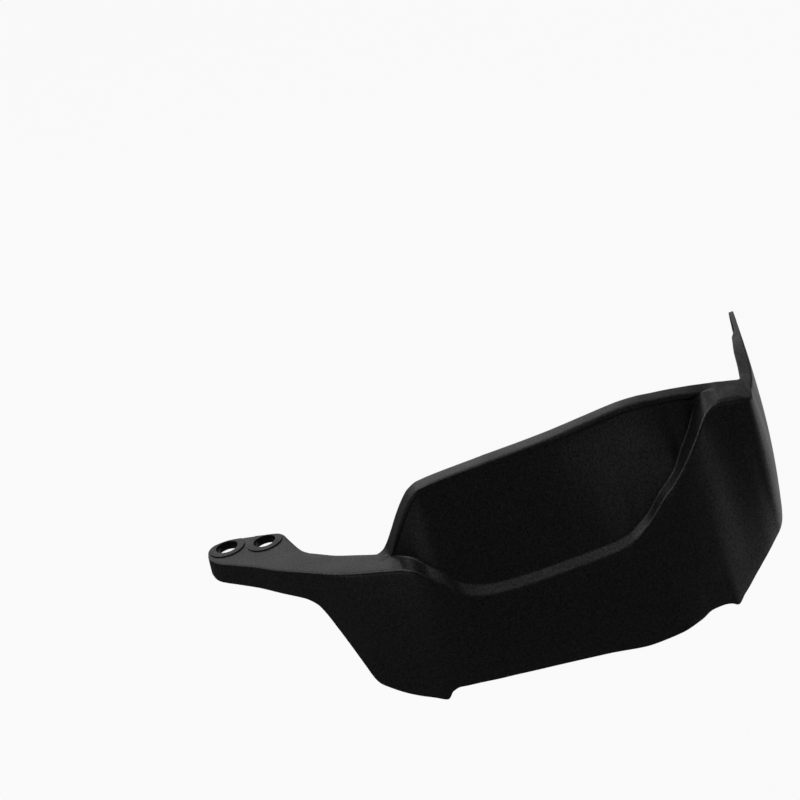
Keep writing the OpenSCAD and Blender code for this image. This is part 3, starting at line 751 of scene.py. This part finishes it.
# each fade: axis, where it starts and ends, the value there
PAINTED_POOL_FADES = (
    ("X", 0.20, 0.42, 0.0, 0.9), ("Y", -0.16, 0.0, 0.0, 1.0), ("Y", 0.02, 0.2, 1.0, 0.55),
)
ROOM_FADES = (
    ("Y", 0.1, 0.5, 0.0, 1.0), ("X", 0.06, 0.22, 1.0, 0.2), ("X", -0.7, -0.1, 0.35, 1.0),
    ("Z", 0.46, 0.64, 1.0, 0.1), ("Z", -0.05, 0.3, 0.1, 1.0),
)


def softbox(name, place, size, power):
    data = bpy.data.lights.new(name, "AREA")
    data.shape, data.size, data.size_y = "RECTANGLE", *size
    data.energy = power
    lamp = bpy.data.objects.new(name, data)
    lamp.location = place
    way = Vector(LAMP_TARGET) - Vector(place)
    lamp.rotation_euler = way.to_track_quat("-Z", "Y").to_euler()
    bpy.context.scene.collection.objects.link(lamp)


def studio():
    """Four soft lamps over a white floor."""
    for lamp in LAMPS:
        softbox(*lamp)
    corners = [(x * FLOOR_REACH, y * FLOOR_REACH, FLOOR_Z)
               for x, y in ((-1, -1), (1, -1), (1, 1), (-1, 1))]
    floor = mesh_object("floor", corners, [(0, 1, 2, 3)])
    floor.data.materials.append(floor_white())
    surroundings()


def floor_white():
    """White to the camera with the soft shadow still on it; to glossy rays it glows as a painted
    pool of light, faint everywhere and brighter to the right and behind, which the part shows as
    painted reflections.
    """
    white = bpy.data.materials.new("floor_white")
    white.use_nodes = True
    tree = white.node_tree
    nodes, links = tree.nodes, tree.links
    shader = nodes["Principled BSDF"]
    shader.inputs["Base Color"].default_value = (0.8, 0.8, 0.8, 1)
    shader.inputs["Roughness"].default_value = 0.9
    shader.inputs["Specular IOR Level"].default_value = 0.0
    ray = nodes.new("ShaderNodeLightPath").outputs
    place = split(tree, "ShaderNodeNewGeometry", "Position")
    seen, painted_pool = nodes.new("ShaderNodeEmission"), nodes.new("ShaderNodeEmission")
    # painted pool of light: the floor glows by place, to glossy rays only
    links.new(glow(tree, place, PAINTED_POOL_FADES, PAINTED_POOL_REST), painted_pool.inputs["Strength"])
    lit_or_painted_pool = blend(tree, ray["Is Glossy Ray"], shader.outputs["BSDF"], painted_pool.outputs["Emission"])
    to_camera = combine(tree, "MULTIPLY", ray["Is Camera Ray"], CAMERA_GLOW)
    links.new(blend(tree, to_camera, lit_or_painted_pool, seen.outputs["Emission"]),
              nodes["Material Output"].inputs["Surface"])
    return white


def surroundings():
    """White to the camera; a pale wall low behind the guard, a dim room on the near side."""
    world = bpy.data.worlds.new("studio")
    bpy.context.scene.world = world
    world.use_nodes = True
    tree = world.node_tree
    nodes, links = tree.nodes, tree.links
    way = split(tree, "ShaderNodeTexCoord", "Generated")
    room, backdrop = nodes["Background"], nodes.new("ShaderNodeBackground")
    links.new(glow(tree, way, ROOM_FADES, ROOM_REST), room.inputs["Strength"])
    backdrop.inputs["Strength"].default_value = 1.0
    for n in (room, backdrop):
        n.inputs["Color"].default_value = (1, 1, 1, 1)
    ray = nodes.new("ShaderNodeLightPath").outputs
    links.new(blend(tree, ray["Is Camera Ray"], room.outputs["Background"],
                    backdrop.outputs["Background"]), nodes["World Output"].inputs["Surface"])


# ---- the camera ----------------------------------------------------------------------------
RISE, ROLL = math.radians(26.6), math.radians(19)
PICTURE_WIDTH, DISTANCE, CLIP_END = 0.3968, 2, 10
AIM = Vector((95.6, -50, 73.1)) * MM


def camera():
    """Straight onto the front, from 26.6 degrees above, with the picture turned by 19 degrees."""
    right = Vector((1, 0, 0))
    up = Vector((0, math.sin(RISE), math.cos(RISE)))
    back = Vector((0, -math.cos(RISE), math.sin(RISE)))
    across = math.cos(ROLL) * right - math.sin(ROLL) * up
    upright = math.sin(ROLL) * right + math.cos(ROLL) * up
    data = bpy.data.cameras.new("camera")
    data.type = "ORTHO"
    data.ortho_scale = PICTURE_WIDTH
    data.clip_end = CLIP_END
    cam = bpy.data.objects.new("camera", data)
    basis = Matrix((across, upright, back)).transposed()
    cam.matrix_world = Matrix.Translation(AIM + back * DISTANCE) @ basis.to_4x4()
    bpy.context.scene.collection.objects.link(cam)
    bpy.context.scene.camera = cam


camera()
studio()
shell = guard()
shell.data.materials.clear()
shell.data.materials.append(moulded_plastic("black_plastic"))
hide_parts("hand_guard")
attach(shell, "root")

bpy.context.scene.view_settings.view_transform = "Standard"
